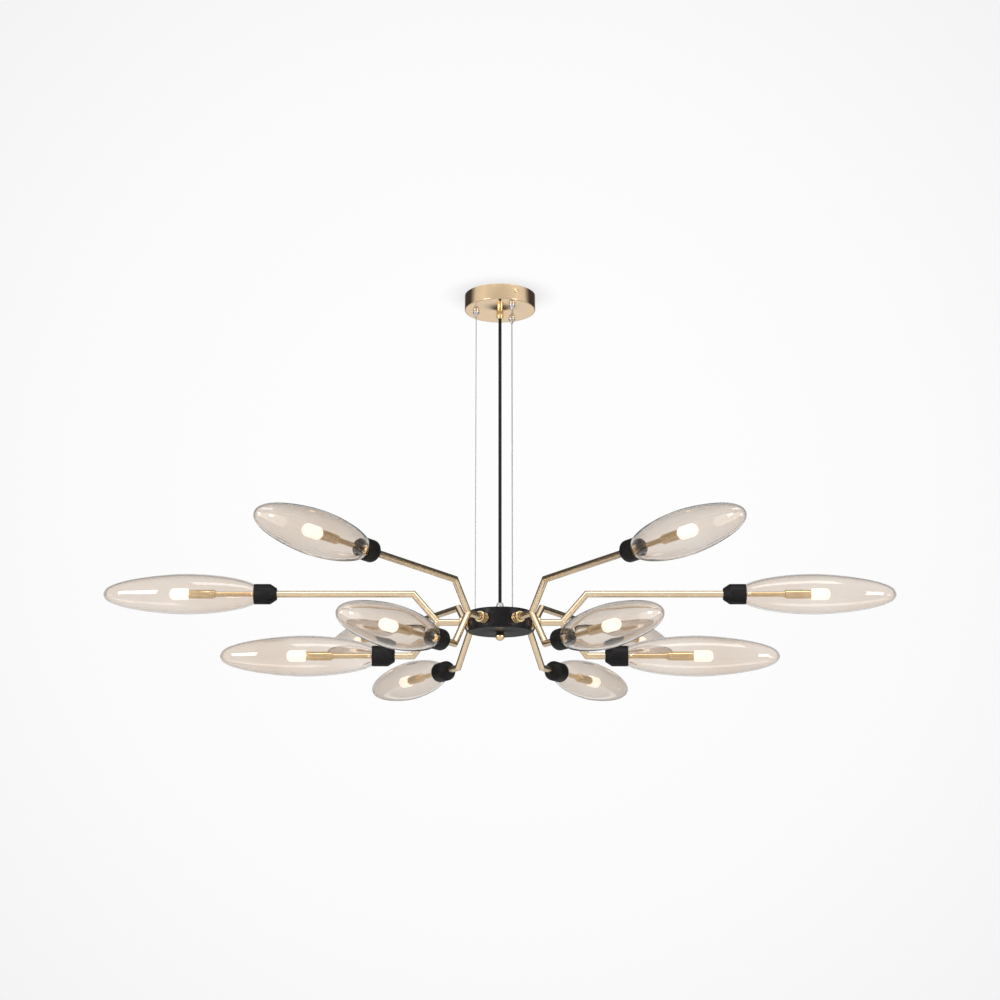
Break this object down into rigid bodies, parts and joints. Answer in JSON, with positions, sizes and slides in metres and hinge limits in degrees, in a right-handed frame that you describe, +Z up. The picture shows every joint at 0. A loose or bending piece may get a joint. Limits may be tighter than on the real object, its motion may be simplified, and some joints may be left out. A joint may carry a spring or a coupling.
{
  "type": "multi arm chandelier",
  "caption": "Ceiling chandelier with a round canopy, three suspension cables, a black hub, forked brass arms and long tinted glass shades over capsule lamps.",
  "frame": {"origin": "centre of the ceiling screw pattern, on the top face of the mounting plate at the ceiling plane", "axes": "+Z up out of the plate into the ceiling; X along the longest span, through arms 2 and 5; -Y is the front of the picture"},
  "size_m": [1.2, 1.042, 0.6045],
  "materials": {
    "satin_brass": "satin champagne brass plating, fine brushing along the tube",
    "gold_fittings": "polished brass plating",
    "dark_brass": "darker polished brass",
    "zinc_steel": "zinc plated",
    "nickel": "bright nickel",
    "wire_rope": "stranded steel wire",
    "black_cord": "matt round sheath",
    "black_enamel": "satin black enamel",
    "matte_black": "matt black powder coat",
    "driver_plastic": "moulded",
    "terminal_nylon": "natural nylon",
    "wire_insulation": "smooth",
    "silicone": "matt",
    "tinted_glass": "clear glass with a light cognac tint",
    "frosted_lamp": "frosted, lit"
  },
  "bodies": {
    "fixture": {"mounting_plate": "zinc_steel", "canopy_cup": "satin_brass", "led_driver": "driver_plastic", "terminal_block": "terminal_nylon", "canopy_gland": "gold_fittings", "canopy_gland_nut": "gold_fittings", "gripper_bodies": "nickel", "gripper_nuts": "zinc_steel", "suspension_cable_1": "wire_rope", "suspension_cable_2": "wire_rope", "suspension_cable_3": "wire_rope", "supply_cord": "black_cord", "cable_anchors": "zinc_steel", "hub_gland": "nickel", "hub_gland_nut": "gold_fittings", "hub_shell": "black_enamel", "hub_bridge": "zinc_steel", "hub_terminal_block": "terminal_nylon", "hub_stud": "zinc_steel", "port_bushings": "gold_fittings", "port_washers": "dark_brass", "port_ring_nuts": "gold_fittings", "port_locknuts": "zinc_steel", "arm_wires": "wire_insulation", "collars_upper": "matte_black", "collars_lower": "matte_black", "seal_rings": "silicone", "stem_nuts": "gold_fittings", "lampholders_upper": "gold_fittings", "lampholders_lower": "gold_fittings", "lamps_upper": "frosted_lamp", "lamps_lower": "frosted_lamp", "arm_1": "satin_brass", "arm_2": "satin_brass", "arm_3": "satin_brass", "arm_4": "satin_brass", "arm_5": "satin_brass", "arm_6": "satin_brass"},
    "canopy_screw_1": {"canopy_screw_1": "gold_fittings"},
    "canopy_screw_2": {"canopy_screw_2": "gold_fittings"},
    "gripper_plunger_1": {"gripper_plunger_1": "nickel"},
    "gripper_plunger_2": {"gripper_plunger_2": "nickel"},
    "gripper_plunger_3": {"gripper_plunger_3": "nickel"},
    "hub_cover": {"hub_cover": "black_enamel"},
    "finial": {"finial": "gold_fittings"},
    "shade_upper_1": {"shade_upper_1": "tinted_glass"},
    "shade_upper_2": {"shade_upper_2": "tinted_glass"},
    "shade_upper_3": {"shade_upper_3": "tinted_glass"},
    "shade_upper_4": {"shade_upper_4": "tinted_glass"},
    "shade_upper_5": {"shade_upper_5": "tinted_glass"},
    "shade_upper_6": {"shade_upper_6": "tinted_glass"},
    "shade_lower_1": {"shade_lower_1": "tinted_glass"},
    "shade_lower_2": {"shade_lower_2": "tinted_glass"},
    "shade_lower_3": {"shade_lower_3": "tinted_glass"},
    "shade_lower_4": {"shade_lower_4": "tinted_glass"},
    "shade_lower_5": {"shade_lower_5": "tinted_glass"},
    "shade_lower_6": {"shade_lower_6": "tinted_glass"}
  },
  "joints": [
    {"name": "canopy_screw_1_turn", "type": "hinge", "parent": "fixture", "child": "canopy_screw_1", "pos_m": [0.0252, -0.04945, -0.01], "axis": [0.454, -0.891, 0], "continuous": true},
    {"name": "canopy_screw_2_turn", "type": "hinge", "parent": "fixture", "child": "canopy_screw_2", "pos_m": [-0.0252, 0.04945, -0.01], "axis": [-0.454, 0.891, 0], "continuous": true},
    {"name": "gripper_release_1", "type": "slide", "parent": "fixture", "child": "gripper_plunger_1", "axis": [0, 0, 1], "range_m": [0, 0.002], "stiffness_N_per_m": 500, "springref_m": -0.002},
    {"name": "gripper_release_2", "type": "slide", "parent": "fixture", "child": "gripper_plunger_2", "axis": [0, 0, 1], "range_m": [0, 0.002], "stiffness_N_per_m": 500, "springref_m": -0.002},
    {"name": "gripper_release_3", "type": "slide", "parent": "fixture", "child": "gripper_plunger_3", "axis": [0, 0, 1], "range_m": [0, 0.002], "stiffness_N_per_m": 500, "springref_m": -0.002},
    {"name": "hub_cover_lower", "type": "slide", "parent": "fixture", "child": "hub_cover", "axis": [0, 0, -1], "range_m": [0, 0.06]},
    {"name": "finial_turn", "type": "hinge", "parent": "hub_cover", "child": "finial", "pos_m": [0, 0, -0.5437], "axis": [0, 0, 1], "continuous": true},
    {"name": "shade_upper_1_pull", "type": "slide", "parent": "fixture", "child": "shade_upper_1", "axis": [0.5, -0.866, 0], "range_m": [0, 0.15]},
    {"name": "shade_upper_2_pull", "type": "slide", "parent": "fixture", "child": "shade_upper_2", "axis": [1, 0, 0], "range_m": [0, 0.15]},
    {"name": "shade_upper_3_pull", "type": "slide", "parent": "fixture", "child": "shade_upper_3", "axis": [0.5, 0.866, 0], "range_m": [0, 0.15]},
    {"name": "shade_upper_4_pull", "type": "slide", "parent": "fixture", "child": "shade_upper_4", "axis": [-0.5, 0.866, 0], "range_m": [0, 0.15]},
    {"name": "shade_upper_5_pull", "type": "slide", "parent": "fixture", "child": "shade_upper_5", "axis": [-1, 0, 0], "range_m": [0, 0.15]},
    {"name": "shade_upper_6_pull", "type": "slide", "parent": "fixture", "child": "shade_upper_6", "axis": [-0.5, -0.866, 0], "range_m": [0, 0.15]},
    {"name": "shade_lower_1_pull", "type": "slide", "parent": "fixture", "child": "shade_lower_1", "axis": [0.5, -0.866, 0], "range_m": [0, 0.15]},
    {"name": "shade_lower_2_pull", "type": "slide", "parent": "fixture", "child": "shade_lower_2", "axis": [1, 0, 0], "range_m": [0, 0.15]},
    {"name": "shade_lower_3_pull", "type": "slide", "parent": "fixture", "child": "shade_lower_3", "axis": [0.5, 0.866, 0], "range_m": [0, 0.15]},
    {"name": "shade_lower_4_pull", "type": "slide", "parent": "fixture", "child": "shade_lower_4", "axis": [-0.5, 0.866, 0], "range_m": [0, 0.15]},
    {"name": "shade_lower_5_pull", "type": "slide", "parent": "fixture", "child": "shade_lower_5", "axis": [-1, 0, 0], "range_m": [0, 0.15]},
    {"name": "shade_lower_6_pull", "type": "slide", "parent": "fixture", "child": "shade_lower_6", "axis": [-0.5, -0.866, 0], "range_m": [0, 0.15]}
  ]
}
